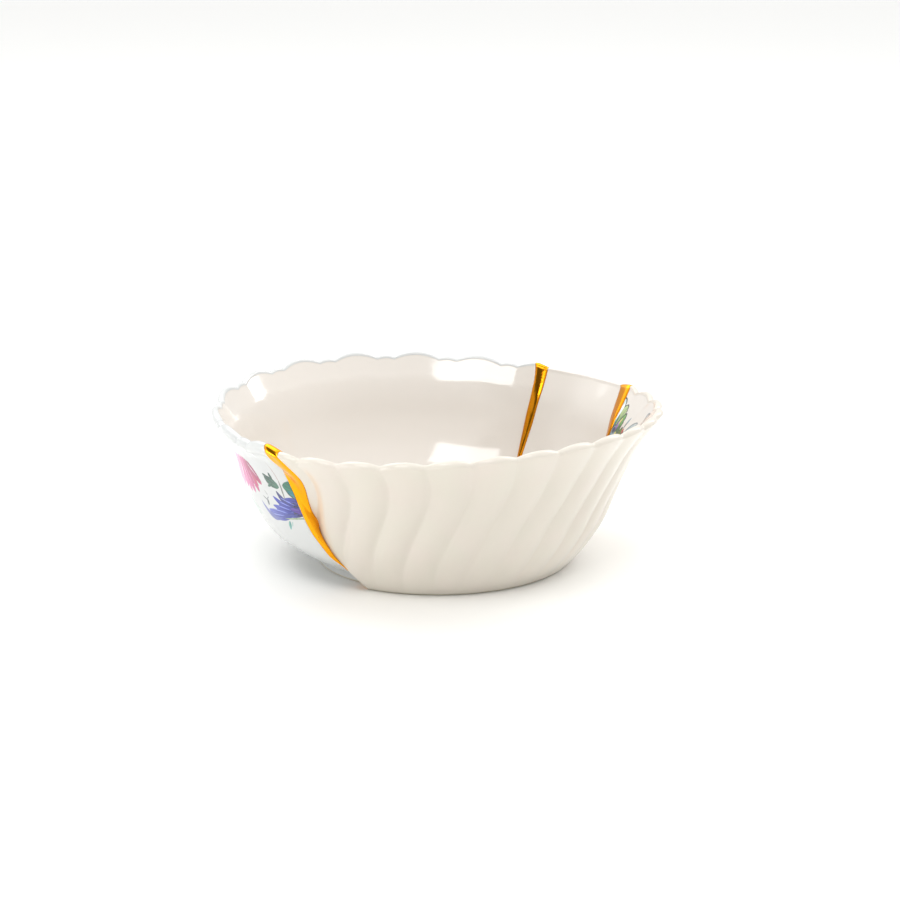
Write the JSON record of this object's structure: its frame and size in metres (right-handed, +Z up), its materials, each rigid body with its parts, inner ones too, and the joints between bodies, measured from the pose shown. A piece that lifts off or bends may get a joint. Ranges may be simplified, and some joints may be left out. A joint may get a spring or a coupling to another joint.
{
  "type": "kintsugi bowl",
  "caption": "Porcelain bowl joined from mismatched shards, fluted, painted and plain, with proud gold lacquer seams; it stands on its foot and holds food, fruit or small things.",
  "frame": {"origin": "middle of the foot, on the surface that the bowl stands on", "axes": "+Z up through the mouth; -Y to the side where the fluted shard shows; +X to the right of that side"},
  "size_m": [0.1904, 0.1904, 0.0696],
  "materials": {
    "ivory_porcelain": "satin ivory glaze over moulded flutes",
    "painted_porcelain": "glossy white glaze with painted flowers",
    "plain_porcelain": "glossy warm white glaze",
    "gold_lacquer": "polished gold over lacquer, hand worked"
  },
  "bodies": {
    "root": {"fluted_shard": "ivory_porcelain", "painted_shard": "painted_porcelain", "plain_shard": "plain_porcelain", "gold_seam": "gold_lacquer"}
  },
  "joints": []
}
